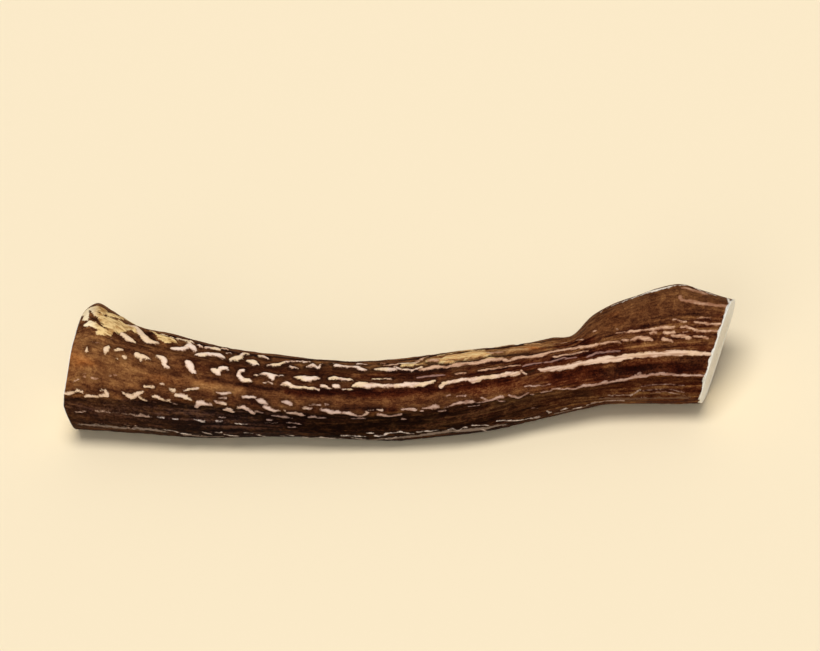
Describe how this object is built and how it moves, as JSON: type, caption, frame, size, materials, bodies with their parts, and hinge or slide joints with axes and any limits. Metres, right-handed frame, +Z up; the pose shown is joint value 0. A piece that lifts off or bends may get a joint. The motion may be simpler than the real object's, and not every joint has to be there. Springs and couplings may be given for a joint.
{
  "type": "deer antler",
  "caption": "Sawn length of a deer's antler beam with pearled, ridged brown bark, swelling at both ends, lying on its side.",
  "frame": {"origin": "on the surface that the antler lies on, under the middle of its bounding box", "axes": "+X along the beam towards the end that swells into a fork, +Y away from the side that the picture shows, +Z up"},
  "size_m": [0.2514, 0.0578, 0.0455],
  "materials": {
    "antler": "satin brown bark with worn cream pearls and ivory sawn ends"
  },
  "bodies": {
    "root": {"antler": "antler"}
  },
  "joints": []
}
